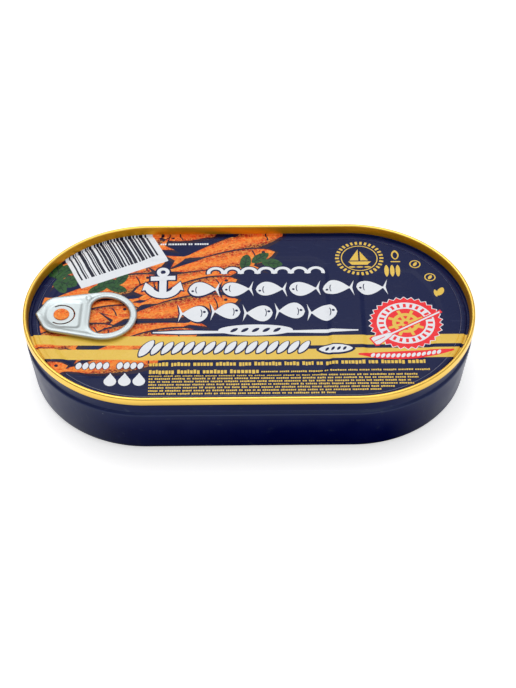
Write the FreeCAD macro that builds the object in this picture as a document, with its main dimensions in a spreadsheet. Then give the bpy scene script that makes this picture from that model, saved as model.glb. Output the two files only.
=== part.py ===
"""Oblong two-piece fish tin with a ring-pull lid, shut and full.

The tin stands flat with its origin at the middle of its underside: +X runs along its length, +Z up,
and the pull tab is at the -X end. The drawn body with its packed food is one solid, the lid with its
seam and rivet is the second, and the pull tab is the third. All sizes are in millimetres.
"""
import FreeCAD, Part
import math
import os
import Sketcher

os.makedirs("parts", exist_ok=True)
doc = FreeCAD.newDocument("FishTin")

# ---------------------------------------------------------------- driving sizes
SIZES = {
    # whole tin
    "tin_length": 148.0,
    "tin_width": 81.4,
    "tin_height": 26.8,
    # drawn body: rounded foot, tapered wall, shoulder, neck under the seam
    "base_recess": 0.8,
    "foot_ramp": 1.0,
    "foot_ring": 2.4,
    "foot_round": 4.0,
    "foot_inset": 2.3,
    "shoulder_inset": 0.45,
    "shoulder_drop": 4.9,
    "shoulder_rise": 0.6,
    "shoulder_round": 0.8,
    "neck_inset": 0.8,
    # double seam, chuck wall and the sheet they are made of
    "seam_height": 2.8,
    "seam_thick": 1.2,
    "seam_round": 0.6,
    "chuck_foot": 2.05,
    "sheet": 0.3,
    "sheet_lean": 0.22,
    # lid panel: groove beside the wall, score line
    "panel_drop": 3.2,
    "groove_deep": 0.5,
    "groove_out": 2.55,
    "panel_edge": 2.95,
    "score_inset": 4.4,
    "score_half": 0.16,
    "score_deep": 0.12,
    # pressed field on the tab side: ends are measured outwards from the middle of the tin
    "near_arc": 33.6,
    "near_end": -27.2,
    "near_half": 28.0,
    "near_corner": 7.5,
    "near_slope": 2.0,
    "near_deep": 0.45,
    # pressed field on the far side
    "far_arc": 30.5,
    "far_end": 36.5,
    "far_half": 21.4,
    "far_corner": 5.0,
    "far_slope": 1.8,
    "far_deep": 0.25,
    # rivet pressed out of the panel
    "rivet_place": 61.5,
    "rivet_button": 3.2,
    "rivet_stem": 1.65,
    "rivet_head": 2.6,
    "rivet_cap": 0.35,
    "rivet_edge": 0.2,
    # pull tab, measured from the rivet
    "tab_lift": 0.1,
    "tab_turn": -2.6,
    "tab_thick": 1.3,
    "tab_under": 0.35,
    "tab_web": 0.4,
    "tab_edge": 0.5,
    "tip_place": 7.3,
    "tip_round": 1.2,
    "bend_place": 1.4,
    "bend_side": 2.9,
    "bend_round": 5.2,
    "ring_place": 13.9,
    "ring_outer": 10.9,
    "hole_left": 9.5,
    "hole_place": 14.0,
    "hole_round": 8.4,
    "hole_corner": 4.5,
    "pan_place": 0.7,
    "pan_round": 6.65,
    "pan_right": 7.0,
    "pan_corner": 1.9,
    "slot_outer": 4.55,
    "slot_inner": 4.05,
    "slot_back": 2.5,
    "slot_outer_half": 3.802,
    "slot_inner_half": 3.186,
    "stem_gap": 0.05,
}

sheet = doc.addObject("Spreadsheet::Sheet", "Sizes")
for row, (alias, size) in enumerate(SIZES.items(), start=1):
    sheet.set("A%d" % row, alias)
    sheet.set("B%d" % row, str(size))
    sheet.setAlias("B%d" % row, alias)
doc.recompute()


# ---------------------------------------------------------------- sums of sizes
def terms(text):
    """Split a sum such as 'tin_width/2 - seam_thick' into (sign, name or number, divisor)."""
    sign = 1.0
    found = []
    for word in text.split():
        if word in "+-":
            sign = 1.0 if word == "+" else -1.0
        else:
            name, _, divisor = word.partition("/")
            found.append((sign, name, float(divisor or 1)))
    return found


def amount(text):
    """The value of such a sum."""
    total = 0.0
    for sign, name, divisor in terms(text):
        total += sign * (SIZES[name] if name in SIZES else float(name)) / divisor
    return total


def bind(thing, prop, text):
    """Bind a property of an object to the same sum of the sheet's cells."""
    words = []
    for sign, name, divisor in terms(text):
        cell = "Sizes." + name if name in SIZES else name
        words.append("%s %s / %g" % ("+" if sign > 0 else "-", cell, divisor))
    thing.setExpression(prop, "0 " + " ".join(words))


def minus(text):
    """The sum with its sign changed."""
    return text if text == "0" else "0 - " + text.translate(str.maketrans("+-", "-+"))


# ---------------------------------------------------------------- bodies and sketches
def new_body(name):
    body = doc.addObject("PartDesign::Body", name)
    body.Label = name
    return body


def plane(body, role):
    return [part for part in body.Origin.OriginFeatures if part.Role == role][0]


def new_sketch(body, name, role, axis=None, shift=None):
    """A sketch on one of the body's own planes, moved by a sum along one of the sketch's axes."""
    sketch = body.newObject("Sketcher::SketchObject", name)
    sketch.AttachmentSupport = [(plane(body, role), "")]
    sketch.MapMode = "FlatFace"
    if axis:
        bind(sketch, ".AttachmentOffset.Base." + axis, shift)
    return sketch


def measure(sketch, kind, text, *items):
    """Add a dimension to a sketch and bind it to a sum of sizes."""
    row = sketch.addConstraint(Sketcher.Constraint(kind, *items, amount(text)))
    bind(sketch, "Constraints[%d]" % row, text)


def arc_between(start, end, radius, hollow):
    """Arc of up to half a turn that bulges to the right of its way, or to the left if hollow."""
    first, last = (end, start) if hollow else (start, end)
    chord = last - first
    left = FreeCAD.Vector(-chord.y, chord.x, 0) / chord.Length
    reach = math.sqrt(max(radius ** 2 - chord.Length ** 2 / 4, 0.0))
    centre = (first + last) / 2 + left * reach
    turns = [math.atan2(point.y - centre.y, point.x - centre.x) for point in (first, last)]
    return Part.ArcOfCircle(Part.Circle(centre, FreeCAD.Vector(0, 0, 1), radius), *turns)


def outline(sketch, corners):
    """Close a loop through corners (across, up) or (across, up, radius of the arc that leads there).

    The loop runs anticlockwise, so an arc bulges outwards; a radius after '-' makes it hollow.
    """
    points = [FreeCAD.Vector(amount(corner[0]), amount(corner[1]), 0) for corner in corners]
    edges = []
    for index, corner in enumerate(corners):
        start, end = points[index - 1], points[index]
        if len(corner) == 2:
            edges.append((sketch.addGeometry(Part.LineSegment(start, end), False), 1, 2))
            continue
        hollow = corner[2].startswith("-")
        radius = corner[2].lstrip("-")
        arc = sketch.addGeometry(arc_between(start, end, amount(radius), hollow), False)
        measure(sketch, "Radius", radius, arc)
        edges.append((arc, 2, 1) if hollow else (arc, 1, 2))
    for index, (across, up) in enumerate(corner[:2] for corner in corners):
        edge, _, last = edges[index]
        following, first, _ = edges[(index + 1) % len(edges)]
        sketch.addConstraint(Sketcher.Constraint("Coincident", edge, last, following, first))
        if across == "0":
            sketch.addConstraint(Sketcher.Constraint("PointOnObject", edge, last, -2))
        else:
            measure(sketch, "DistanceX", across, -1, 1, edge, last)
        if up == "0":
            sketch.addConstraint(Sketcher.Constraint("PointOnObject", edge, last, -1))
        else:
            measure(sketch, "DistanceY", up, -1, 1, edge, last)
    return sketch


def both_sides(half):
    """Whole section from a half that starts and ends on the upright axis."""
    whole = list(half)
    for index in range(len(half) - 2, 0, -1):
        across, up = half[index][:2]
        whole.append((minus(across), up) + tuple(half[index + 1][2:]))
    return whole


def oblong(body, half):
    """Carry a half section round the oblong: a straight middle, and half a turn at each end."""
    middle = body.newObject("PartDesign::Pad", body.Label + "_middle")
    middle.Profile = outline(new_sketch(body, body.Label + "_cross_section", "YZ_Plane"), both_sides(half))
    middle.Midplane = True
    bind(middle, "Length", "tin_length - tin_width")
    end_section = new_sketch(body, body.Label + "_end_section", "XZ_Plane", "x", END_CENTRE)
    end = body.newObject("PartDesign::Revolution", body.Label + "_end")
    end.Profile = outline(end_section, half)
    end.ReferenceAxis = (end_section, ["V_Axis"])
    end.Angle = 180.0
    end.Midplane = True
    other_end = body.newObject("PartDesign::Mirrored", body.Label + "_other_end")
    other_end.Originals = [end]
    other_end.MirrorPlane = (plane(body, "YZ_Plane"), [""])
    body.Tip = other_end
    doc.recompute()


RIM = "tin_width/2"
END_CENTRE = "tin_length/2 - tin_width/2"
SEAM_FOOT = "tin_height - seam_height"
PANEL = "tin_height - panel_drop"
UNDER = PANEL + " - sheet"

# Underside of the lid from the foot of the seam to the middle, where the body meets it.
UNDERSIDE = [
    (RIM + " - seam_thick - sheet_lean", SEAM_FOOT),
    (RIM + " - chuck_foot + sheet", UNDER + " - groove_deep"),
    (RIM + " - groove_out - sheet", UNDER + " - groove_deep"),
    (RIM + " - panel_edge - sheet", UNDER),
    ("0", UNDER),
]


# ---------------------------------------------------------------- pressed fields of the lid
def field_outline(body, name, side, field, inset, height):
    """A field's outline: an arc about the tin's end centre, closed by a straight end with round corners.

    side is -1 for the field under the tab and 1 for the other; inset names a size that shrinks it.
    """
    sketch = new_sketch(body, name, "XY_Plane", "z", height)
    less = " - " + inset if inset else ""
    more = " + " + inset if inset else ""
    arc_text = field + "_arc" + less
    half_text = field + "_half" + less
    corner_text = field + "_corner" + less
    end_text = field + "_end" + more if side > 0 else minus(field + "_end" + more)
    centre_text = END_CENTRE if side > 0 else minus(END_CENTRE)
    arc, half, corner = amount(arc_text), amount(half_text), amount(corner_text)
    end, centre = amount(end_text), amount(centre_text)
    meet = centre + side * math.sqrt(arc ** 2 - half ** 2)
    turn = end + side * corner
    bend = corner * math.sqrt(0.5)
    spots = [(meet, half), (turn, half), (end, half - corner),
             (end, corner - half), (turn, -half), (meet, -half)]
    points = [FreeCAD.Vector(x, y, 0) for x, y in spots]
    upper, lower = [FreeCAD.Vector(turn - side * bend, up * (half - corner + bend), 0) for up in (1, -1)]
    sketch.addGeometry([
        Part.LineSegment(points[0], points[1]), Part.Arc(points[1], upper, points[2]),
        Part.LineSegment(points[2], points[3]), Part.Arc(points[3], lower, points[4]),
        Part.LineSegment(points[4], points[5]),
        Part.Arc(points[5], FreeCAD.Vector(centre + side * arc, 0, 0), points[0]),
    ], False)
    first, last = (1, 2) if side > 0 else (2, 1)
    for line, arc_edge, joint in ((0, 1, first), (2, 3, first)):
        sketch.addConstraint(Sketcher.Constraint("Tangent", line, 2, arc_edge, joint))
    for line, arc_edge in ((2, 1), (4, 3)):
        sketch.addConstraint(Sketcher.Constraint("Tangent", line, 1, arc_edge, last))
    sketch.addConstraint(Sketcher.Constraint("Coincident", 4, 2, 5, first))
    sketch.addConstraint(Sketcher.Constraint("Coincident", 5, last, 0, 1))
    sketch.addConstraint(Sketcher.Constraint("Vertical", 2))
    sketch.addConstraint(Sketcher.Constraint("Equal", 1, 3))
    sketch.addConstraint(Sketcher.Constraint("PointOnObject", 5, 3, -1))
    for line in (0, 4):
        sketch.addConstraint(Sketcher.Constraint("Horizontal", line))
    measure(sketch, "DistanceX", centre_text, -1, 1, 5, 3)
    measure(sketch, "DistanceX", end_text, -1, 1, 2, 1)
    measure(sketch, "DistanceY", half_text, -1, 1, 0, 1)
    measure(sketch, "DistanceY", minus(half_text), -1, 1, 4, 2)
    measure(sketch, "Radius", corner_text, 1)
    measure(sketch, "Radius", arc_text, 5)
    return sketch


def field_loft(body, kind, name, side, field, top):
    """A field's sloped wall and flat floor, cut from or added under the level given as top."""
    mouth = field_outline(body, name + "_mouth", side, field, None, top)
    floor = field_outline(body, name + "_floor", side, field, field + "_slope", top + " - " + field + "_deep")
    loft = body.newObject("PartDesign::" + kind, name)
    loft.Profile = mouth
    loft.Sections = [floor]
    loft.Ruled = True
    body.Tip = loft
    doc.recompute()


FIELDS = (("near", -1), ("far", 1))


# ---------------------------------------------------------------- drawn body with the packed food
def make_can_body():
    """Solid tin body: recessed base, foot ring, rounded edge, tapered wall, shoulder and neck."""
    body = new_body("can_body")
    foot = RIM + " - foot_inset - foot_round"
    shoulder = SEAM_FOOT + " - shoulder_drop"
    oblong(body, [
        ("0", "base_recess"),
        (foot + " - foot_ring - foot_ramp", "base_recess"),
        (foot + " - foot_ring", "0"),
        (foot, "0"),
        (RIM + " - foot_inset", "foot_round", "foot_round"),
        (RIM + " - shoulder_inset", shoulder),
        (RIM + " - neck_inset", shoulder + " + shoulder_rise", "shoulder_round"),
        (RIM + " - neck_inset", SEAM_FOOT),
    ] + UNDERSIDE)
    for field, side in FIELDS:
        field_loft(body, "SubtractiveLoft", "body_under_%s_field" % field, side, field, UNDER)
    return body


# ---------------------------------------------------------------- lid with its seam and rivet
def make_lid_end():
    """Lid sheet: double seam, chuck wall, groove, scored panel, two pressed fields and the rivet."""
    body = new_body("lid_end")
    oblong(body, UNDERSIDE[::-1] + [
        (RIM, SEAM_FOOT),
        (RIM, "tin_height - seam_round"),
        (RIM + " - seam_round", "tin_height", "seam_round"),
        (RIM + " - seam_thick", "tin_height - seam_round", "seam_round"),
        (RIM + " - chuck_foot", PANEL + " - groove_deep"),
        (RIM + " - groove_out", PANEL + " - groove_deep"),
        (RIM + " - panel_edge", PANEL),
        (RIM + " - score_inset + score_half", PANEL),
        (RIM + " - score_inset", PANEL + " - score_deep"),
        (RIM + " - score_inset - score_half", PANEL),
        ("0", PANEL),
    ])
    for field, side in FIELDS:
        field_loft(body, "AdditiveLoft", "%s_field_underside" % field, side, field, UNDER)
        field_loft(body, "SubtractiveLoft", "%s_field" % field, side, field, PANEL)
    section = new_sketch(body, "rivet_section", "XZ_Plane", "x", minus("rivet_place"))
    web_foot = PANEL + " + tab_lift + tab_under"
    web_top = web_foot + " + tab_web"
    outline(section, [
        ("0", UNDER + " - near_deep"),
        ("rivet_button", UNDER + " - near_deep"),
        ("rivet_button", web_foot),
        ("rivet_stem", web_foot),
        ("rivet_stem", web_top),
        ("rivet_head", web_top),
        ("rivet_head", web_top + " + rivet_cap - rivet_edge"),
        ("rivet_head - rivet_edge", web_top + " + rivet_cap", "rivet_edge"),
        ("0", web_top + " + rivet_cap"),
    ])
    rivet = body.newObject("PartDesign::Revolution", "rivet")
    rivet.Profile = section
    rivet.ReferenceAxis = (section, ["V_Axis"])
    rivet.Angle = 360.0
    body.Tip = rivet
    return body


# ---------------------------------------------------------------- pull tab
def pocket(body, name, corners, level, depth, upwards=False):
    """Cut an outline out of the tab, down from a level or up from it."""
    cut = body.newObject("PartDesign::Pocket", name)
    sketch = new_sketch(body, name + "_outline", "XY_Plane", "z", level)
    cut.Profile = outline(sketch, corners)
    cut.Reversed = upwards
    bind(cut, "Length", depth)
    body.Tip = cut
    doc.recompute()
    return cut


def touching(first, second):
    """Where the line that touches two rounds (x, y, radius) on their left, going first to second, meets them."""
    x, y = second[0] - first[0], second[1] - first[1]
    lean = math.atan2(y, x) + math.asin((first[2] - second[2]) / math.hypot(x, y)) - math.pi / 2
    return [FreeCAD.Vector(centre_x + radius * math.cos(lean), centre_y + radius * math.sin(lean), 0)
            for centre_x, centre_y, radius in (first, second)]


def tab_outline(body):
    """Ring's end, two bends and the nose as rounds, joined by four straight flanks that touch them."""
    sketch = new_sketch(body, "tab_outline", "XY_Plane")
    bend = (-amount("bend_place"), amount("bend_side"), amount("bend_round"))
    rounds = [(amount("ring_place"), 0.0, amount("ring_outer")), bend,
              (-amount("tip_place"), 0.0, amount("tip_round")), (bend[0], -bend[1], bend[2])]
    flanks = [touching(first, rounds[(place + 1) % 4]) for place, first in enumerate(rounds)]
    upright = FreeCAD.Vector(0, 0, 1)
    for place, (x, y, radius) in enumerate(rounds):
        start, end = [math.atan2(spot.y - y, spot.x - x) for spot in (flanks[place - 1][1], flanks[place][0])]
        circle = Part.Circle(FreeCAD.Vector(x, y, 0), upright, radius)
        sketch.addGeometry(Part.ArcOfCircle(circle, start, end if end > start else end + 2 * math.pi), False)
        sketch.addGeometry(Part.LineSegment(*flanks[place]), False)
    for edge in range(8):
        sketch.addConstraint(Sketcher.Constraint("Tangent", edge, 2, (edge + 1) % 8, 1))
    for arc, middle, radius in ((0, "ring_place", "ring_outer"), (4, "0 - tip_place", "tip_round")):
        sketch.addConstraint(Sketcher.Constraint("PointOnObject", arc, 3, -1))
        measure(sketch, "DistanceX", middle, -1, 1, arc, 3)
        measure(sketch, "Radius", radius, arc)
    sketch.addConstraint(Sketcher.Constraint("Equal", 2, 6))
    sketch.addConstraint(Sketcher.Constraint("Symmetric", 2, 3, 6, 3, -1))
    measure(sketch, "DistanceX", "0 - bend_place", -1, 1, 2, 3)
    measure(sketch, "DistanceY", "bend_side", -1, 1, 2, 3)
    measure(sketch, "Radius", "bend_round", 2)
    return sketch


def make_pull_tab():
    """Ring tab of curled sheet: pointed nose, finger hole, pressed pan with a slot round the rivet."""
    body = new_body("pull_tab")
    blank = body.newObject("PartDesign::Pad", "tab_blank")
    blank.Profile = tab_outline(body)
    bind(blank, "Length", "tab_thick")
    hole = pocket(body, "finger_hole", [
        ("hole_place", "0 - hole_round", "hole_corner"),
        ("hole_place + hole_round", "0", "hole_round"),
        ("hole_place", "hole_round", "hole_round"),
        ("hole_left", "hole_round - hole_corner", "hole_corner"),
        ("hole_left", "hole_corner - hole_round"),
    ], "tab_thick", "tab_thick")
    flats = ["Face%d" % number for number, face in enumerate(hole.Shape.Faces, start=1)
             if abs(face.normalAt(0, 0).z) > 0.99]
    curl = body.newObject("PartDesign::Fillet", "curled_edges")
    curl.Base = (hole, flats)
    bind(curl, "Radius", "tab_edge")
    body.Tip = curl
    doc.recompute()
    pan = [
        ("pan_place", "0 - pan_round", "pan_round"),
        ("pan_right - pan_corner", "0 - pan_round"),
        ("pan_right", "pan_corner - pan_round", "pan_corner"),
        ("pan_right", "pan_round - pan_corner"),
        ("pan_right - pan_corner", "pan_round", "pan_corner"),
        ("pan_place", "pan_round"),
        ("pan_place - pan_round", "0", "pan_round"),
    ]
    pocket(body, "pan", pan, "tab_thick", "tab_thick - tab_under - tab_web")
    pocket(body, "pan_underside", pan, "0", "tab_under", upwards=True)
    pocket(body, "tongue_slot", [
        ("0 - slot_back", "0 - slot_outer_half"),
        ("slot_outer", "0", "slot_outer"),
        ("0 - slot_back", "slot_outer_half", "slot_outer"),
        ("0 - slot_back", "slot_inner_half"),
        ("slot_inner", "0", "-slot_inner"),
        ("0 - slot_back", "0 - slot_inner_half", "-slot_inner"),
    ], "tab_thick", "tab_thick")
    stem = body.newObject("PartDesign::Pocket", "rivet_hole")
    circle = new_sketch(body, "rivet_hole_outline", "XY_Plane", "z", "tab_thick")
    circle.addGeometry(Part.Circle(FreeCAD.Vector(), FreeCAD.Vector(0, 0, 1), amount("rivet_stem + stem_gap")))
    circle.addConstraint(Sketcher.Constraint("Coincident", 0, 3, -1, 1))
    measure(circle, "Radius", "rivet_stem + stem_gap", 0)
    stem.Profile = circle
    bind(stem, "Length", "tab_thick")
    body.Tip = stem
    turn = FreeCAD.Rotation(FreeCAD.Vector(0, 0, 1), SIZES["tab_turn"])
    body.Placement = FreeCAD.Placement(FreeCAD.Vector(), turn)
    bind(body, ".Placement.Base.x", minus("rivet_place"))
    bind(body, ".Placement.Base.z", PANEL + " + tab_lift")
    return body


# ---------------------------------------------------------------- build, check, write
pieces = [make_can_body(), make_lid_end(), make_pull_tab()]
doc.recompute()
for thing in doc.Objects:
    if "Invalid" in thing.State or "Error" in thing.State:
        raise RuntimeError("%s did not build: %s" % (thing.Name, thing.State))
for piece in pieces:
    if piece.Shape.isNull() or not piece.Shape.isValid() or len(piece.Shape.Solids) != 1:
        raise RuntimeError("%s is not one valid solid" % piece.Label)
for first, second in ((0, 1), (1, 2), (0, 2)):
    shared = pieces[first].Shape.common(pieces[second].Shape).Volume
    print("%s and %s share %.4f mm3" % (pieces[first].Label, pieces[second].Label, shared))
for piece in pieces:
    box = piece.Shape.BoundBox
    print("%-9s %8.1f x %6.1f x %5.2f mm from z %.2f, %.1f mm3"
          % (piece.Label, box.XLength, box.YLength, box.ZLength, box.ZMin, piece.Shape.Volume))
    piece.Shape.exportStep("parts/%s.step" % piece.Label)
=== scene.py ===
"""An oblong tin of smoked sprats with a ring-pull lid, dressed over its construction model."""
import math
import random
import bmesh
import bpy
import numpy as np
from mathutils import Matrix, Vector
from mathutils.geometry import delaunay_2d_cdt


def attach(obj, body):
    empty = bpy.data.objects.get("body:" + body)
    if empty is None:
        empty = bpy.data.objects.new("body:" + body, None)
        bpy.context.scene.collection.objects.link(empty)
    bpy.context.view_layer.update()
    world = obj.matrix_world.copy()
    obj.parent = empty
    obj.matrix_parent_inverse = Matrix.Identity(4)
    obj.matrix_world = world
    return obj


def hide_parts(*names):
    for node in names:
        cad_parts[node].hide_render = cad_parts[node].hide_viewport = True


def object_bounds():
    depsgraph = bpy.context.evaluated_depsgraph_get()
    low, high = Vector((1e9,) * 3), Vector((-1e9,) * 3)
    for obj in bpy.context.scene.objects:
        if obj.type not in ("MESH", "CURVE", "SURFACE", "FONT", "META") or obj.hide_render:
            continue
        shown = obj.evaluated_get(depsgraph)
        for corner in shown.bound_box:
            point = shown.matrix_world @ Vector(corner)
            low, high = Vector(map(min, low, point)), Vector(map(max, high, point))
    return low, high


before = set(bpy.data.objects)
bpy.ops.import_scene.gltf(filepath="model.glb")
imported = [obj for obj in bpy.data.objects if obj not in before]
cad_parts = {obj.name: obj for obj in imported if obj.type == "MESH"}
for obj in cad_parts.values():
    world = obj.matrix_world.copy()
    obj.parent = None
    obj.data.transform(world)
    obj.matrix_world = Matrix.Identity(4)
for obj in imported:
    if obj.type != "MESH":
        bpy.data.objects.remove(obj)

cad_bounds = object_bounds()

# ------------------------ camera, floor and lamps
# The tin is seen from in front and above with a long lens, alone on a plain white floor.
# A broad lamp hangs behind it and a weaker one stands in front, as on a product table.
MM = 0.001
scene = bpy.context.scene
scene.view_settings.view_transform = "Standard"


def linear(red, green, blue):
    """Scene colour of a printed colour given in 0 to 255 steps."""
    steps = [value / 255 for value in (red, green, blue)]
    return tuple(v / 12.92 if v <= 0.04045 else ((v + 0.055) / 1.055) ** 2.4 for v in steps) + (1.0,)


def new_object(name, data):
    thing = bpy.data.objects.new(name, data)
    scene.collection.objects.link(thing)
    return thing


def place_camera():
    """Turned at the tin's middle, then slid, lifted and drawn back along the camera's own axes."""
    azimuth, elevation, roll = -0.87, 45.47, 0.12
    middle, slide, lift, back = 12 * MM, 2.9 * MM, -1.43 * MM, 676.6 * MM
    data = bpy.data.cameras.new("camera")
    data.lens = 106.6
    scene.camera = new_object("camera", data)
    view = Matrix.Translation((0, 0, middle))
    for angle, axis in ((azimuth, "Z"), (90 - elevation, "X"), (roll, "Z")):
        view @= Matrix.Rotation(math.radians(angle), 4, axis)
    scene.camera.matrix_world = view @ Matrix.Translation((slide, lift, back))


def feed(tree, node, values):
    """Give inputs of a node their values, each a socket or fixed."""
    for place, value in dict(values).items():
        if isinstance(value, bpy.types.NodeSocket):
            tree.links.new(value, node.inputs[place])
        else:
            node.inputs[place].default_value = value
    return node


def add_node(tree, kind, values=(), **settings):
    node = tree.nodes.new(kind)
    for name, value in settings.items():
        setattr(node, name, value)
    return feed(tree, node, values)


def calculate(tree, operation, *values):
    """Result of one math node."""
    return add_node(tree, "ShaderNodeMath", enumerate(values), operation=operation).outputs[0]


def remap(tree, source, low_value, high_value, start=0.3, end=0.7, shape="LINEAR"):
    """Turn a value that runs from start to end into another range."""
    return add_node(tree, "ShaderNodeMapRange", {
        "Value": source, "From Min": start, "From Max": end,
        "To Min": low_value, "To Max": high_value}, interpolation_type=shape).outputs[0]


def make_world():
    """A pale room that is brightest overhead and a little brighter on the right."""
    world = bpy.data.worlds.new("studio")
    scene.world = world
    world.use_nodes = True
    tree = world.node_tree
    place = add_node(tree, "ShaderNodeTexCoord")
    split = add_node(tree, "ShaderNodeSeparateXYZ", {0: place.outputs["Generated"]})
    right_share, brightest, slope, least = 0.3, 0.7, 0.3, 0.33
    level = calculate(tree, "MULTIPLY_ADD", split.outputs["X"], right_share, split.outputs["Z"])
    level = calculate(tree, "MINIMUM", level, brightest)
    level = calculate(tree, "MULTIPLY_ADD", level, slope, least)
    feed(tree, tree.nodes["Background"], {"Strength": level, "Color": (1, 1, 1, 1)})


def painted_tin_shadow(tree):
    """Painted shadow of the tin on the floor, set by place and not cast by the lamps: 1 at its front foot, 0
    behind it and farther off.
    """
    reach, foot, lean = 33 * MM, 3 * MM, -1.2
    place = add_node(tree, "ShaderNodeTexCoord")
    split = add_node(tree, "ShaderNodeSeparateXYZ", {0: place.outputs["Object"]})
    across, depth = split.outputs["X"], split.outputs["Y"]
    rim_round = cad_bounds[1].y
    along = calculate(tree, "SUBTRACT", calculate(tree, "ABSOLUTE", across), cad_bounds[1].x - rim_round)
    along = calculate(tree, "MAXIMUM", along, 0.0)
    away = calculate(tree, "MULTIPLY", along, along)
    away = calculate(tree, "SQRT", calculate(tree, "MULTIPLY_ADD", depth, depth, away))
    front = calculate(tree, "MULTIPLY_ADD", across, lean, calculate(tree, "DIVIDE", depth, away))
    front = calculate(tree, "POWER", calculate(tree, "MINIMUM", front, 0.0), 2.0)
    near = remap(tree, away, 0.0, 1.0, rim_round + reach, rim_round + foot, "SMOOTHSTEP")
    return calculate(tree, "MULTIPLY", front, near)


def make_floor():
    """White paper that the camera and reflections see at full white, outside a painted shadow in front of the
    tin that reflections and bounced light see and the camera does not.
    """
    half, paleness, glow_strength = 1.6, 0.85, 0.55
    mesh = bpy.data.meshes.new("floor")
    corners = [(-half, -half, 0), (half, -half, 0), (half, half, 0), (-half, half, 0)]
    mesh.from_pydata(corners, [], [(0, 1, 2, 3)])
    paper = bpy.data.materials.new("white_floor")
    paper.use_nodes = True
    tree = paper.node_tree
    tree.nodes.clear()
    ray = add_node(tree, "ShaderNodeLightPath").outputs
    direct = calculate(tree, "MAXIMUM", ray["Is Camera Ray"], ray["Is Transmission Ray"])
    # painted shadow: the floor darkens in front of the tin for reflections and bounced light, though no lamp
    # casts it there
    lit = calculate(tree, "MAXIMUM", calculate(tree, "SUBTRACT", 1.0, painted_tin_shadow(tree)), direct)
    matt = add_node(tree, "ShaderNodeBsdfDiffuse", {"Color": calculate(tree, "MULTIPLY", lit, paleness)})
    shown = calculate(tree, "MULTIPLY", calculate(tree, "MAXIMUM", ray["Is Glossy Ray"], direct), lit)
    glow = add_node(tree, "ShaderNodeEmission",
                    {"Strength": calculate(tree, "MULTIPLY", shown, glow_strength)})
    both = add_node(tree, "ShaderNodeAddShader", {0: matt.outputs[0], 1: glow.outputs[0]})
    add_node(tree, "ShaderNodeOutputMaterial", {"Surface": both.outputs[0]})
    mesh.materials.append(paper)
    floor = new_object("floor", mesh)


def add_lamp(name, place, size, watts):
    """A square soft lamp aimed at the tin."""
    data = bpy.data.lights.new(name, "AREA")
    data.size = size
    data.energy = watts
    lamp = new_object(name, data)
    lamp.location = place
    lamp.rotation_euler = (-Vector(place)).to_track_quat("-Z", "Y").to_euler()


place_camera()
make_world()
make_floor()
add_lamp("back_softbox", (-0.12, 0.3, 0.92), 0.9, 4.8)
add_lamp("front_softbox", (0.35, -0.8, 0.8), 0.35, 0.8)

# ------------------------ drawn body
# The body is deep-drawn tinplate with a dark blue lacquer outside: a rounded foot, a wall that
# widens upwards, a small shoulder and a straight neck that goes up into the seam.
HALF_LENGTH, RIM_ROUND, TIN_HEIGHT = cad_bounds[1] / MM
END_CENTRE = HALF_LENGTH - RIM_ROUND


def soften(corners):
    """Points along a line through corners (across, up, radius), with each corner rounded."""
    points = []
    for index, (across, up, radius) in enumerate(corners):
        here = Vector((across, up))
        if radius == 0:
            points.append(here)
            continue
        before = (Vector(corners[index - 1][:2]) - here).normalized()
        after = (Vector(corners[(index + 1) % len(corners)][:2]) - here).normalized()
        half_turn = before.angle(after) / 2
        reach = radius / math.tan(half_turn)
        centre = here + (before + after).normalized() * radius / math.sin(half_turn)
        first, last = here + before * reach - centre, here + after * reach - centre
        steps = max(3, int(math.degrees(math.pi - 2 * half_turn) / 12))
        turn = -first.angle_signed(last) / steps
        points += [centre + Matrix.Rotation(turn * step, 2) @ first for step in range(steps + 1)]
    return points


def group_socket(tree, name, kind, default=None, way="INPUT"):
    socket = tree.interface.new_socket(name, in_out=way, socket_type="NodeSocket" + kind)
    if default is not None:
        socket.default_value = default


def oblong_sweep_tree():
    """Carries a profile, drawn as a chain of edges, round an outline with two half-round ends."""
    tree = bpy.data.node_groups.new("Oblong sweep", "GeometryNodeTree")
    group_socket(tree, "Profile", "Geometry")
    group_socket(tree, "Length", "Float", 0.1)
    group_socket(tree, "Width", "Float", 0.05)
    group_socket(tree, "Points per corner", "Int", 8)
    group_socket(tree, "Material", "Material")
    group_socket(tree, "Geometry", "Geometry", way="OUTPUT")
    nearly_half, weld_reach = 0.499, 0.000002
    given = add_node(tree, "NodeGroupInput").outputs
    box = add_node(tree, "GeometryNodeCurvePrimitiveQuadrilateral",
                   {"Width": given["Length"], "Height": given["Width"]})
    ends = add_node(tree, "GeometryNodeFilletCurve", {
        "Curve": box.outputs["Curve"], "Count": given["Points per corner"],
        "Radius": calculate(tree, "MULTIPLY", given["Width"], nearly_half)}, mode="POLY")
    upright = add_node(tree, "GeometryNodeSetCurveNormal", {"Curve": ends.outputs["Curve"]}, mode="Z_UP")
    chain = add_node(tree, "GeometryNodeMeshToCurve", {"Mesh": given["Profile"]})
    sweep = add_node(tree, "GeometryNodeCurveToMesh",
                     {"Curve": upright.outputs["Curve"], "Profile Curve": chain.outputs["Curve"]})
    weld = add_node(tree, "GeometryNodeMergeByDistance",
                    {"Geometry": sweep.outputs["Mesh"], "Distance": weld_reach})
    real = add_node(tree, "GeometryNodeRealizeInstances", {"Geometry": weld.outputs["Geometry"]})
    finish = add_node(tree, "GeometryNodeSetMaterial",
                      {"Geometry": real.outputs["Geometry"], "Material": given["Material"]})
    add_node(tree, "NodeGroupOutput", {"Geometry": finish.outputs["Geometry"]})
    return tree


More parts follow.
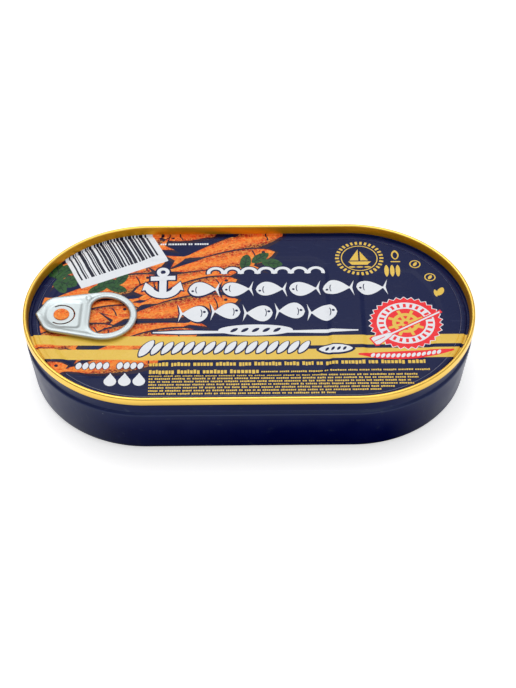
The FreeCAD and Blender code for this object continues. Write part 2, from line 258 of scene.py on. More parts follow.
def bake_tree(holder, tree, values):
    """Run a node tree on an object, with inputs given by name, and keep the result as its mesh."""
    modifier = holder.modifiers.new("shape", "NODES")
    modifier.node_group = tree
    for item in tree.interface.items_tree:
        if item.item_type == "SOCKET" and item.in_out == "INPUT" and item.name in values:
            modifier[item.identifier] = values[item.name]
    graph = bpy.context.evaluated_depsgraph_get()
    made = bpy.data.meshes.new_from_object(holder.evaluated_get(graph))
    made.name = holder.name
    holder.modifiers.remove(modifier)
    holder.data = made


def smooth(mesh, limit):
    """Shade a mesh smoothly except at edges that turn by more than a limit in degrees."""
    mesh.shade_smooth()
    mesh.set_sharp_from_angle(angle=math.radians(limit))


def swept_piece(name, profile, closed, material):
    """A piece swept round the tin from (inset, height) points; an open profile gets flat ends."""
    mesh = bpy.data.meshes.new(name)
    count = len(profile)
    edges = [(index, (index + 1) % count) for index in range(count if closed else count - 1)]
    mesh.from_pydata([(-inset * MM, -up * MM, 0) for inset, up in profile], edges, [])
    piece = new_object(name, mesh)
    bake_tree(piece, oblong_sweep, {"Length": 2 * HALF_LENGTH * MM, "Width": 2 * RIM_ROUND * MM,
                                    "Points per corner": 56, "Material": material})
    shell = bmesh.new()
    shell.from_mesh(piece.data)
    if not closed:
        edges = [edge for edge in shell.edges if edge.is_boundary]
        flats = bmesh.ops.holes_fill(shell, edges=edges, sides=0)["faces"]
        bmesh.ops.triangulate(shell, faces=flats, ngon_method="BEAUTY")
    bmesh.ops.recalc_face_normals(shell, faces=shell.faces)
    shell.to_mesh(piece.data)
    shell.free()
    smooth(piece.data, 38)
    return piece


def mix_colours(tree, factor, first, second):
    """Blend two colours, each a fixed colour or a socket, by a socket."""
    return add_node(tree, "ShaderNodeMix", {0: factor, 6: first, 7: second}, data_type="RGBA").outputs[2]


def noise(tree, place, scale, detail, roughness=0.5):
    return add_node(tree, "ShaderNodeTexNoise", {"Vector": place, "Scale": scale, "Detail": detail,
                                                 "Roughness": roughness}).outputs["Fac"]


def handled_sheet_group():
    """Unevenness of lacquered sheet: slow mottle, fine grain, a few fine scratches and dust specks."""
    group = bpy.data.node_groups.new("Handled sheet", "ShaderNodeTree")
    for name, value in (("Mottle size", 120.0), ("Grain size", 2500.0), ("Scratch size", 90.0)):
        group_socket(group, name, "Float", value)
    for name in ("Mottle", "Grain", "Scratches", "Specks"):
        group_socket(group, name, "Float", way="OUTPUT")
    given = add_node(group, "NodeGroupInput").outputs
    place = add_node(group, "ShaderNodeTexCoord").outputs["Object"]
    mottle, grain = [noise(group, place, given[size], 3.0) for size in ("Mottle size", "Grain size")]
    stretch = add_node(group, "ShaderNodeMapping",
                       {"Vector": place, "Rotation": (0.0, 0.0, 0.6), "Scale": (1.0, 14.0, 1.0)})
    streak = noise(group, stretch.outputs[0], given["Scratch size"], 2.0)
    scratches = remap(group, streak, 0.0, 1.0, 0.66, 0.74)
    cells = add_node(group, "ShaderNodeTexVoronoi", {"Vector": place, "Scale": 150.0})
    few = add_node(group, "ShaderNodeSeparateColor", {0: cells.outputs["Color"]})
    reach = remap(group, few.outputs["Red"], 0.0, 0.04, 0.7, 1.0)
    specks = calculate(group, "LESS_THAN", cells.outputs["Distance"], reach)
    add_node(group, "NodeGroupOutput",
             {"Mottle": mottle, "Grain": grain, "Scratches": scratches, "Specks": specks})
    return group


def sheet_material(name, tints, rough, grain=0.0, metallic=0.0, specular=0.5, marks=(), **sizes):
    """Sheet that mottles between two tints and over a range of roughness, with grain of some height
    in metres, and with scratches and specks where their colours are given as marks."""
    material = bpy.data.materials.new(name)
    material.use_nodes = True
    tree = material.node_tree
    sizes = {place.replace("_", " "): value for place, value in sizes.items()}
    sheet = add_node(tree, "ShaderNodeGroup", sizes, node_tree=handled_sheet).outputs
    shader = feed(tree, tree.nodes["Principled BSDF"], {
        "Base Color": linear(*tints[0]), "Roughness": remap(tree, sheet["Mottle"], *rough),
        "Metallic": metallic, "Specular IOR Level": specular})
    if len(tints) == 2:
        tint = mix_colours(tree, sheet["Mottle"], linear(*tints[0]), linear(*tints[1]))
        for effect, mark in zip(("Scratches", "Specks"), marks):
            tint = mix_colours(tree, sheet[effect], tint, linear(*mark))
        feed(tree, shader, {"Base Color": tint})
    if grain:
        lumps = add_node(tree, "ShaderNodeBump", {"Height": sheet["Grain"], "Distance": grain})
        feed(tree, shader, {"Normal": lumps.outputs["Normal"]})
    return material, tree, shader, sheet


def navy_lacquer():
    material, _, shader, _ = sheet_material(
        "navy_lacquer", ((2, 7, 69), (6, 13, 79)), (0.28, 0.4), 0.000004, specular=0.45,
        marks=((40, 46, 84), (92, 98, 124)), Scratch_size=240.0)
    shader.inputs["Specular Tint"].default_value = (0.7, 0.88, 1.0, 1.0)
    return material


oblong_sweep = oblong_sweep_tree()
handled_sheet = handled_sheet_group()

SEAM_HIGH = 2.8
SEAM_FOOT = TIN_HEIGHT - SEAM_HIGH
SHOULDER = SEAM_FOOT - 4.9
BASE_RECESS = 0.8
FOOT_INSET, FOOT_ROUND = 2.75, 3.7
NECK_TOP = SEAM_FOOT + 0.4
SEAM_INNER = 1.42
can_body = swept_piece("tin_body", soften([
    (10.7, BASE_RECESS, 0), (9.7, BASE_RECESS, 0.6), (8.7, 0.0, 0.6), (FOOT_INSET, 0.0, FOOT_ROUND),
    (0.45, SHOULDER - 0.2, 1.0), (1.3, SHOULDER + 0.65, 0.4), (0.75, NECK_TOP, 0), (SEAM_INNER, NECK_TOP, 0),
    (1.6, SEAM_FOOT - 2.2, 0),
]), False, navy_lacquer())
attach(can_body, "root")
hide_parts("can_body")

# ------------------------ seam and chuck wall
# Body and lid are folded together into a double seam. Its outside, its crest and the chuck wall
# inside are bare gold lacquer; the chuck wall gets a darker amber copy of the gold, which is painted
# reflection of the orange print and painted shade. The printed panel starts low on the wall, above a narrow
# groove.
PANEL = TIN_HEIGHT - 3.2
SHEET = 0.3
GROOVE = PANEL - 0.5
WALL_FOOT, GROOVE_OUT, PANEL_EDGE = 1.98, 2.6, 2.95
PRINT_EDGE, PRINT_TOP = 1.755, GROOVE + 0.9
SEAM_THICK, CREST_ROUND = 1.2, 0.58


def gold_lacquer():
    return sheet_material("gold_lacquer", ((244, 197, 86), (251, 210, 106)), (0.28, 0.36), 0.0000015,
                          metallic=1.0, Mottle_size=260.0)[0]


def painted_reflection_gold():
    """The chuck wall's gold darkened to amber: painted reflection of the orange print and painted shade."""
    return sheet_material("painted_reflection_gold", ((220, 150, 14), (236, 168, 30)), (0.3, 0.4), 0.000004,
                          metallic=0.6, specular=0.3, Mottle_size=260.0)[0]


def rim_inset(x, y):
    """How far a place lies inside the rim's outline."""
    return RIM_ROUND - np.hypot(np.maximum(np.abs(x) - END_CENTRE, 0.0), y)


seam = swept_piece("seam_and_wall", soften([
    (SEAM_INNER, SEAM_FOOT, 0), (0.0, SEAM_FOOT, 0.35), (0.0, TIN_HEIGHT, CREST_ROUND),
    (SEAM_THICK, TIN_HEIGHT, CREST_ROUND), (PRINT_EDGE, PRINT_TOP, 0), (PRINT_EDGE, PRINT_TOP - SHEET, 0),
]), True, gold_lacquer())
seam.data.materials.append(painted_reflection_gold())
# painted reflection and shade: the inner chuck wall's faces take the darker amber gold
for face in seam.data.polygons:
    if rim_inset(face.center.x / MM, face.center.y / MM) > SEAM_THICK and 0 < face.normal.z < 0.5:
        face.material_index = 1
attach(seam, "root")
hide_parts("lid_end")

# ------------------------ printed lid panel
# The panel is one pressed sheet with a raised frame round two shallow fields, a score line for
# tearing it open and two finger dents. Its print is flat inks on the navy ground, so the sheet's
# faces are divided along the edges of the printed shapes and each takes the ink on top there.


def arc_loop(x, y, radii, turns):
    """Points round (x, y) at the given turns, on a circle or, with two radii, on an ellipse."""
    across, up = np.broadcast_to(radii, 2)
    return np.stack([x + across * np.cos(turns), y + up * np.sin(turns)], 1)


def band_loop(x, y, outer, inner, turns):
    """Band between two such arcs."""
    return np.concatenate([arc_loop(x, y, outer, turns), arc_loop(x, y, inner, turns[::-1])])


def circle_loop(x, y, radius, count=40):
    return arc_loop(x, y, radius, 2 * math.pi * np.arange(count) / count)


def oblong_loop(inset, count=70):
    """The rim's outline drawn further in."""
    radius = RIM_ROUND - inset
    right = arc_loop(END_CENTRE, 0, radius, np.linspace(-math.pi / 2, math.pi / 2, count))
    lower = np.linspace(-END_CENTRE, END_CENTRE, 24)[1:-1]
    upper = np.stack([lower[::-1], np.full(len(lower), radius)], 1)
    return np.concatenate([-upper, right, upper, -right])


def field_loop(side, arc, end, half, corner, inset):
    """Outline of a pressed field, as the construction model has it, drawn further in by inset."""
    arc, end, half, corner = arc - inset, end + inset, half - inset, max(corner - inset, 0.5)
    reach = math.asin(half / arc)
    far = arc_loop(END_CENTRE, 0, arc, np.linspace(-reach, reach, 60))
    upper = arc_loop(end + corner, half - corner, corner, np.linspace(math.pi / 2, math.pi, 10))
    straight = np.linspace(far[-1, 0], upper[0, 0], 24)[1:-1]
    top = np.stack([straight, np.full(len(straight), half)], 1)
    return np.concatenate([far, top, upper, upper[::-1] * (1, -1), top[::-1] * (1, -1)]) * (side, 1)


def inside(points, loop):
    """Which points lie inside a loop."""
    ahead = np.roll(loop, -1, axis=0)
    x, y = points[:, :1], points[:, 1:]
    crosses = (loop[:, 1] > y) != (ahead[:, 1] > y)
    rise = np.where(ahead[:, 1] == loop[:, 1], 1.0, ahead[:, 1] - loop[:, 1])
    at = loop[:, 0] + (y - loop[:, 1]) / rise * (ahead[:, 0] - loop[:, 0])
    return (np.sum(crosses & (x < at), axis=1) % 2).astype(bool)


def distance(points, loop):
    """Distance of each point from a loop."""
    ahead = np.roll(loop, -1, axis=0)
    way = ahead - loop
    length = np.maximum(np.sum(way * way, axis=1), 1e-12)
    best = np.full(len(points), 1e9)
    for start, step, size in zip(loop, way, length):
        away = points - start
        along = np.clip(away @ step / size, 0.0, 1.0)
        best = np.minimum(best, np.hypot(*(away - along[:, None] * step).T))
    return best


def ease(value):
    value = np.clip(value, 0.0, 1.0)
    return value * value * (3 - 2 * value)


def slope_down(points, loop, width):
    """Share of a pressed shape's depth that is reached at each point, over a slope of some width."""
    return ease(np.where(inside(points, loop), distance(points, loop), 0.0) / width)


# Each field's side, end arc, inner end, half width, corner, slope and depth, and each finger dent's
# place, half length, half width and depth.
FIELDS = ((-1, 33.6, -27.2, 28.0, 7.5, 2.0, 0.45), (1, 30.5, 36.5, 21.4, 5.0, 1.8, 0.25))
DENTS = [(-33.5, side * 18.6, 8.2, 3.9, 0.3) for side in (-1, 1)]
SCORE_INSET, SCORE_HALF, SCORE_DEEP = 4.4, 0.16, 0.12
WAVE_HIGH = 0.03


def panel_height(points):
    """Height of the lid sheet's upper side."""
    height = np.full(len(points), PANEL)
    for side, arc, end, half, corner, slope, deep in FIELDS:
        height -= deep * slope_down(points, field_loop(side, arc, end, half, corner, 0.0), slope)
    for x, y, across, up, deep in DENTS:
        reach = np.hypot((points[:, 0] - x) / across, (points[:, 1] - y) / up)
        height -= deep * ease((1.0 - reach) / 0.55)
    inset = rim_inset(points[:, 0], points[:, 1])
    height -= SCORE_DEEP * np.clip(1.0 - np.abs(inset - SCORE_INSET) / SCORE_HALF, 0.0, 1.0)
    height -= (PANEL - GROOVE) * ease((PANEL_EDGE - inset) / (PANEL_EDGE - GROOVE_OUT))
    height += (PRINT_TOP - GROOVE) * np.clip((WALL_FOOT - inset) / (WALL_FOOT - PRINT_EDGE), 0.0, 1.0)
    calm = ease((inset - PANEL_EDGE) / 6.0)
    waves = np.sin(points[:, 0] * 0.11 + 1.0) * np.cos(points[:, 1] * 0.14)
    waves += 0.6 * np.sin(points[:, 1] * 0.23 + 2.0)
    return height + WAVE_HIGH * waves * calm


PRINTS = []


def ink(name, *loops, spread=None):
    """Print a shape bounded by loops; spread is the shape's own (x, y, angle, length, width, number)."""
    PRINTS.append((name, [np.asarray(loop, float) for loop in loops], spread))


def relief_loops():
    loops = [oblong_loop(SCORE_INSET + shift) for shift in (-0.5, -SCORE_HALF, 0.0, SCORE_HALF, 0.5)]
    wall_steps = (WALL_FOOT, 2.05, 2.3, GROOVE_OUT, 2.68, 2.775, 2.87, PANEL_EDGE)
    loops += [oblong_loop(inset) for inset in wall_steps]
    for side, arc, end, half, corner, slope, deep in FIELDS:
        for share in (-0.15, 0.0, 0.12, 0.25, 0.4, 0.5, 0.6, 0.75, 0.88, 1.0, 1.15):
            loops.append(field_loop(side, arc, end, half, corner, share * slope))
    for x, y, across, up, deep in DENTS:
        for share in (1.0, 0.9, 0.8, 0.7, 0.6, 0.45, 0.25):
            loops.append(circle_loop(0, 0, share, 48) * (across, up) + (x, y))
    return loops


def fill_loops(edge, loops, spacing, holes=()):
    """Triangles that fill an edge loop, divided along the other loops, with points between them."""
    points, edges = [], []
    for loop in (edge, *holes, *loops):
        first = len(points)
        points += [Vector(point) for point in loop]
        edges += [(first + step, first + (step + 1) % len(loop)) for step in range(len(loop))]
    low_x, low_y = edge.min(axis=0)
    high_x, high_y = edge.max(axis=0)
    grid = np.array([(x + (spacing / 2 if row % 2 else 0), y)
                     for row, y in enumerate(np.arange(low_y, high_y, spacing * 0.87))
                     for x in np.arange(low_x, high_x, spacing)])
    grid = grid[inside(grid, edge)]
    grid = grid[distance(grid, edge) > spacing * 0.3]
    points += [Vector(point) for point in grid]
    found, _, faces, _, _, _ = delaunay_2d_cdt(points, edges, [], 0, 1e-5)
    found, faces = np.array([tuple(point) for point in found]), np.array(faces)
    centres = found[faces].mean(axis=1)
    keep = inside(centres, edge)
    for hole in holes:
        keep &= ~inside(centres, hole)
    return found, faces[keep]


def shell_mesh(name, found, faces, top, bottom):
    """Closed sheet between two height functions; points where both meet are shared."""
    upper, lower = top(found), bottom(found)
    meets = upper - lower < 1e-4
    faces = faces[~meets[faces].all(axis=1)]
    used = np.unique(faces)
    order = np.full(len(found), -1)
    order[used] = np.arange(len(used))
    flat, upper, lower, meets, faces = found[used], upper[used], lower[used], meets[used], order[faces]
    count = len(flat)
    apart = np.cumsum(~meets) - 1 + count
    below = np.where(meets, np.arange(count), apart)
    points = np.concatenate([np.column_stack([flat, upper]), np.column_stack([flat, lower])[~meets]]) * MM
    sides = {(face[step], face[(step + 1) % 3]): None for face in faces.tolist() for step in range(3)}
    walls = []
    for start, end in sides:
        if (end, start) in sides:
            continue
        wall = [start, int(below[start]), int(below[end]), end]
        wall = [corner for place, corner in enumerate(wall) if corner != wall[place - 1]]
        if len(wall) > 2:
            walls.append(wall)
    mesh = bpy.data.meshes.new(name)
    mesh.from_pydata(points.tolist(), [], faces.tolist() + below[faces[:, ::-1]].tolist() + walls)
    return mesh


def turned(loop, x, y, angle):
    """Loop turned by an angle in degrees and moved to (x, y)."""
    turn = math.radians(angle)
    matrix = np.array([[math.cos(turn), math.sin(turn)], [-math.sin(turn), math.cos(turn)]])
    return np.asarray(loop, float) @ matrix + (x, y)


def fish_loop(x, y, length, width, angle, tail, bend):
    """Outline of a plain fish with its nose towards +x before it is turned."""
    tail_root, thinnest = 0.86, 0.11
    steps = np.linspace(0.0, tail_root, 22)
    swell = np.sin(math.pi * (steps / tail_root) ** 0.72) ** 0.85
    half = 0.5 * width * np.maximum(swell, thinnest * (steps > 0.4))
    upper = [(0.5 - step, size / length) for step, size in zip(steps, half)]
    upper.append((-0.5, tail * width / length))
    whole = upper + [(-0.44, 0.0)] + [(across, -size) for across, size in upper[::-1]][:-1]
    whole = np.array(whole) * length
    whole[:, 1] += bend * np.cos(whole[:, 0] / length * math.pi)
    return turned(whole, x, y, angle)


def gill_loop(middle, radii, reach, count, thick, squeeze=1.0):
    """Thin crescent behind a fish's head, before it is turned."""
    arc = arc_loop(middle, 0.0, radii, np.linspace(-reach, reach, count))
    return np.concatenate([arc, (arc[::-1] - (thick, 0)) * (1, squeeze)])


def leaf_loop(x, y, length, width, angle):
    steps = np.linspace(0.0, math.pi, 12)
    upper = np.stack([-np.cos(steps) * length / 2, np.sin(steps) ** 1.3 * width / 2], 1)
    return turned(np.concatenate([upper, upper[::-1][1:-1] * (1, -1)]), x, y, angle)


def box_loop(x, y, length, height, angle=0.0):
    unit = np.array([(-0.5, -0.5), (0.5, -0.5), (0.5, 0.5), (-0.5, 0.5)])
    return turned(unit * (length, height), x, y, angle)


def print_picture():
    """Smoked fish laid side by side, with green leaves, across the tab's half of the lid."""
    draw = random.Random(7)
    for row in range(9):
        for place in range(2):
            length, width = draw.uniform(38, 46), draw.uniform(8.0, 9.4)
            x = -8 - 1.2 * row - 0.45 * row * row - 34.0 * (1 - place) + draw.uniform(-2.5, 2.5)
            y = 36.5 - 7.9 * row + 5.5 * place + draw.uniform(-0.8, 0.8)
            angle = 17 + draw.uniform(-5, 5) + (180 if (row + place) % 3 == 1 else 0)
            bend = draw.uniform(-1.4, 1.4)
            ink("shade", fish_loop(x, y - 0.4, length + 2.4, width + 2.2, angle, 0.45, bend))
            ink("fish", fish_loop(x, y, length, width, angle, 0.36, bend),
                spread=(x, y, angle, length, width, 2 * row + place + 1))
            gill = gill_loop(0.31 * length, (0.16 * width, 0.42 * width), 0.8, 12, 0.45, 0.96)
            ink("shade", turned(gill, x, y, angle))
            ink("shade", turned(circle_loop(0.41 * length, 0.1 * width, 0.62, 14), x, y, angle))
    for x, y, angle in ((-62, 21, 70), (-58, 18, 20), (-63, 15, 120), (-66, 19, 150), (-59, 23, 40),
                        (-64, 23, 100), (-61, 16, -10), (-47, 16, 15), (-42.5, 18, 60), (-44, 13.6, -20),
                        (-50, 13.5, 30), (4, 27.5, 35), (-1, 25.5, 80), (8, 25, -10)):
        length, width = draw.uniform(7, 9), draw.uniform(3.4, 4.4)
        ink("leaf", leaf_loop(x, y, length, width, angle))
        ink("dark_leaf", leaf_loop(x, y, length * 0.8, 0.5, angle))
        for shift in (-0.22, 0.0, 0.22):
            for side in (-1, 1):
                vein = leaf_loop(shift * length + 0.6, side * 0.2 * width, 0.36 * width, 0.35, side * 50)
                ink("dark_leaf", turned(vein, x, y, angle))


def print_bar_patch():
    """A white slip with upright bars of uneven width, laid across the corner."""
    tilt, bar_high, up, along, end = 24.5, 16.6, 4.0, -14.3, 13.6
    ink("white", box_loop(-45.9, 30.2, 31.5, 22.2, tilt))
    draw = random.Random(11)
    while along < end:
        wide = draw.choice((0.3, 0.3, 0.6, 0.6, 0.95, 1.2))
        ink("black", turned(box_loop(along + wide / 2, up, wide, bar_high), -44.6, 27.3, tilt))
        along += wide + draw.choice((0.32, 0.32, 0.6, 0.95))


def print_bands():
    """Navy strip at the near end, navy below the title, and two gold bands that rise to the left."""
    ink("navy", band_loop(-END_CENTRE, 0, 39.2, 35.4, np.radians(np.linspace(150, 194, 30))))
    ink("navy", [(-31, -42), (80, -42), (80, -12), (-29, -12)])
    for bottom, top, rise in ((-13.8, -9.6, 1.2), (-20.0, -15.4, 0.8)):
        ink("gilt", [(-80, bottom + rise), (0, bottom), (80, bottom), (80, top), (0, top), (-80, top + rise)])


def print_white_fish(x, y, length, width, angle, bend):
    ink("navy", fish_loop(x + 0.2, y - 0.25, length + 1.5, width + 1.2, angle, 0.6, bend))
    ink("white", fish_loop(x, y, length, width, angle, 0.54, bend))
    ink("navy", turned(circle_loop(0.37 * length, 0.08 * width, 0.07 * width, 12), x, y, angle))
    gill = gill_loop(0.2 * length, (0.14 * width, 0.3 * width), 0.9, 10, 0.32)
    ink("navy", turned(gill, x, y, angle))


def anchor_loops(x, y, size, grow):
    """Shank, stock, ring, arms and flukes of an anchor, each as loops, with a margin added round them."""
    arms = np.radians(np.linspace(196, 344, 24))
    bow = band_loop(x, y - 0.02 * size, 0.44 * size + grow, 0.25 * size - grow, arms)
    tip, heel, half = 0.17 * size + grow, -0.1 * size - grow, 0.14 * size + grow
    flukes = [turned([(tip, 0), (heel, -half), (heel, half)],
                     x + side * 0.37 * size, y - 0.07 * size, 90 - side * 14) for side in (-1, 1)]
    shank = box_loop(x, y - 0.03 * size, 0.17 * size + 2 * grow, 0.8 * size + 2 * grow)
    stock = box_loop(x, y + 0.22 * size, 0.58 * size + 2 * grow, 0.14 * size + 2 * grow)
    eye = [circle_loop(x, y + 0.42 * size, 0.15 * size + grow, 24)]
    if grow == 0:
        eye.append(circle_loop(x, y + 0.42 * size, 0.06 * size, 18))
    return [[bow], [flukes[0]], [flukes[1]], [shank], [stock], eye]


def print_title():
    """A white anchor with two rows of white fish beside it, and a line of waves above them."""
    for colour, grow in (("navy", 0.6), ("white", 0.0)):
        for loops in anchor_loops(-28.6, 15.2, 14.2, grow):
            ink(colour, *loops)
    for place in range(6):
        lift, bend = (0.4, 0.5) if place % 2 else (-0.2, -0.5)
        print_white_fish(-14.8 + 11.15 * place, 12.6 + lift, 10.4, 6.6, 180, bend)
    for place in range(5):
        lift, bend = (0.3, 0.5) if place % 2 else (-0.2, -0.4)
        print_white_fish(-18.4 + 10.6 * place, 1.6 + lift, 9.9, 7.4, 0, bend)
    wave = np.linspace(-0.25, math.pi + 0.25, 16)
    for colour, thick, drop in (("navy", 1.1, -0.15), ("white", 0.6, 0.0)):
        for place in range(7):
            ink(colour, band_loop(-11.0 + 5.6 * place, 20.6 + drop, (2.4 + thick, 2.2 + thick),
                                  (2.4 - thick, 2.2 - thick), wave))
    draw = random.Random(3)
    x, end = -29.8, -13.5
    while x < end:
        size = draw.uniform(0.5, 0.9)
        ink("white", box_loop(x + size / 2, 34.4, size * 0.8, 0.8))
        x += size + (0.6 if draw.random() < 0.15 else 0.05)


def print_cartouche():
    """White lens between two tapering arms, with a row of dots on it."""
    x, lens_y, arm_y = 2.0, -6.6, -7.4
    for colour, grow in (("navy", 0.5), ("white", 0.0)):
        for side in (-1, 1):
            steps = np.linspace(0, 1, 16)
            half = (0.35 + 0.9 * np.sin(steps * math.pi) ** 2 * (1 - steps) + 0.35 * steps) * 0.8 + grow
            arm = np.stack([x + side * (33.5 + grow - steps * 25.0), half], 1)
            ink(colour, np.concatenate([arm, arm[::-1] * (1, -1)]) + (0, arm_y))
        ink(colour, circle_loop(x, lens_y, (12.2 + grow, 2.5 + grow)))
    for place in range(5):
        ink("navy", leaf_loop(-5.0 + 3.5 * place, lens_y, 3.0, 1.3, 35))


def print_rope():
    """A twisted white rope along the two gold bands, closed by a lens."""
    for colour, grow, shift in (("navy", 0.9, -0.2), ("white", 0.0, 0.0)):
        for place in range(16):
            size = 1.3 if place == 0 else 1.0
            length, width = 6.4 * size + grow, 2.25 * size + grow
            ink(colour, leaf_loop(-33.4 + 3.4 * place, -14.4 + shift, length, width, 56))
        ink(colour, leaf_loop(27.8, -15.6 + shift, 11.0 + 2 * grow, 3.8 + 1.5 * grow, 0))
    for place in range(4):
        ink("navy", leaf_loop(25.0 + 1.9 * place, -15.6, 1.9, 0.9, 56))


def print_ring(colour, x, y, radius, count, length, height):
    """Dashes set evenly round a circle, each pointing outwards."""
    for step, (across, up) in enumerate(circle_loop(x, y, radius, count)):
        ink(colour, box_loop(across, up, length, height, 360 * step / count))


def print_seal():
    """Round red seal with a toothed edge, a white ring of dots, a gold ship's wheel and a white oar."""
    x, y, teeth = 51.2, -4.1, 30
    for colour, grow in (("white", 0.35), ("red", 0.0)):
        points = circle_loop(0, 0, 1, 2 * teeth)
        points[0::2] *= 10.9 + grow
        points[1::2] *= 12.0 + grow
        ink(colour, points + (x, y))
    ink("white", circle_loop(x, y, 9.5, 72), circle_loop(x, y, 6.6, 60))
    print_ring("red", x, y, 8.05, 24, 1.7, 0.95)
    ink("gilt", circle_loop(x, y, 4.5, 40), circle_loop(x, y, 3.2, 34))
    for step in range(4):
        ink("gilt", box_loop(x, y, 12.2, 1.05, 22.5 + 45 * step))
    ink("gilt", circle_loop(x, y, 1.9, 20))
    ink("red", circle_loop(x, y, 0.8, 14))
    lower = np.array([(-11.6, -1.5), (-10.6, -1.9), (-5.6, -0.9), (-4.4, -0.32), (14.4, -0.32)])
    oar = np.concatenate([lower, lower[::-1] * (1, -1)])
    ink("red", turned(oar * (1.03, 1.0) + np.sign(oar) * (0.2, 0.45), 50.2, -6.6, 31))
    ink("white", turned(oar, 50.2, -6.6, 31))
    ink("red", box_loop(42.2, -11.4, 4.2, 0.3, 31))

    def ribbon(step):
        return 35.0 + 31.0 * step, -19.6 + 5.2 * (step - 0.5) ** 2 + 1.7 * step

    steps = np.linspace(0, 1, 24)
    middle = np.stack(ribbon(steps), 1)
    half = np.stack([0 * steps, 1.85 * np.sin(math.pi * np.clip(steps, 0.02, 0.98)) ** 0.6], 1)
    ink("red", np.concatenate([middle + half, (middle - half)[::-1]]))
    for place in range(14):
        ink("white", leaf_loop(*ribbon(0.15 + 0.053 * place), 2.1, 1.2, 60))


def print_gold_marks():
    """Gold boat in a ring of dashes, and five small gold signs beside it."""
    x, y = 37.4, 26.7
    print_ring("gilt", x, y, 7.5, 30, 1.35, 0.8)
    ink("gilt", circle_loop(x, y, 6.2, 48), circle_loop(x, y, 5.85, 48))
    for shape in ([(-3.8, -1.6), (3.9, -1.6), (2.6, -3.2), (-2.6, -3.2)],
                  [(-0.35, -1.1), (-0.35, 4.4), (-3.4, -1.1)], [(0.25, -1.1), (0.25, 3.4), (2.9, -1.1)]):
        ink("gilt", np.add(shape, (x, y)))
    for shift in (-2.6, 0.0, 2.6):
        ink("gilt", leaf_loop(x + shift, y - 4.3, 2.4, 0.7, 0))
    ink("gilt", leaf_loop(49.5, 28.2, 4.6, 2.6, 90), leaf_loop(49.5, 28.0, 3.2, 1.6, 90))
    ink("gilt", box_loop(49.5, 24.9, 3.2, 0.5))
    for place in range(3):
        ink("gilt", leaf_loop(46.3 + 1.9 * place, 20.6, 5.4, 1.5, 90))
    for x, y in ((56.0, 23.6), (60.6, 17.2)):
        ink("gilt", circle_loop(x, y, 1.9, 26), circle_loop(x, y, 1.5, 24))
        ink("gilt", leaf_loop(x, y, 2.2, 1.1, 60))
    ink("gilt", leaf_loop(63.6, 10.3, 4.2, 2.2, 65))
    ink("gilt", leaf_loop(62.0, 9.6, 3.4, 1.2, 100))


def print_small_lines():
    """Rows of gold dashes where the small print is, set closer and shorter towards the rim."""
    draw = random.Random(5)
    left, title_tall, small = -32.4, 1.4, 0.6
    rows = [(-21.9, left, 55.5, title_tall, 1.0), (-25.3, left, 1.5, title_tall, 1.0),
            (-25.4, 3.5, 54.5, small, small)]
    rows += [(-27.4 - 1.3 * place, left, right, small, small)
             for place, right in enumerate((53.0, 52.0, 51.0, 49.0, 46.0, 42.0, 27.0))]
    for y, x, right, tall, wide in rows:
        while x < right:
            for _ in range(draw.randint(2, 8)):
                size = wide * draw.choice((0.8, 1.1, 1.1, 1.3))
                lift = tall * draw.choice((0.0, 0.0, 0.0, 0.18, -0.15))
                ink("gilt", box_loop(x + size / 2, y + lift / 2, size * 0.76, tall + abs(lift)))
                x += size
            x += wide * 0.8


def print_fill_marks():
    """A row of white grains and three white oil drops over the gold lines' left end."""
    for colour, grow in (("navy", 0.5), ("white", 0.0)):
        for place in (0, 1, 2, 3, 4, 6, 7, 8, 9):
            ink(colour, leaf_loop(-54.9 + 2.2 * place, -22.2, 3.2 + grow, 1.9 + grow, 76))
        for place in range(3):
            x, y = -44.6 + 4.6 * place, -28.7
            drop = arc_loop(x, y - 0.9, 2.0 + grow / 2, np.radians(np.linspace(-225, 45, 20)))
            ink(colour, np.concatenate([drop, [(x, y + 3.3 + grow)]]))


print_picture()
print_bands()
print_bar_patch()
print_title()
print_cartouche()
print_rope()
print_seal()
print_gold_marks()
print_small_lines()
print_fill_marks()


def plain_ink(name, colour, other, roughness=0.3, specular=0.2):
    """Flat printed ink that mottles a little between two colours under the clear lacquer."""
    return sheet_material(name, (colour, other), (roughness - 0.06, roughness + 0.06), 0.000003,
                          specular=specular, Mottle_size=400.0)[0]


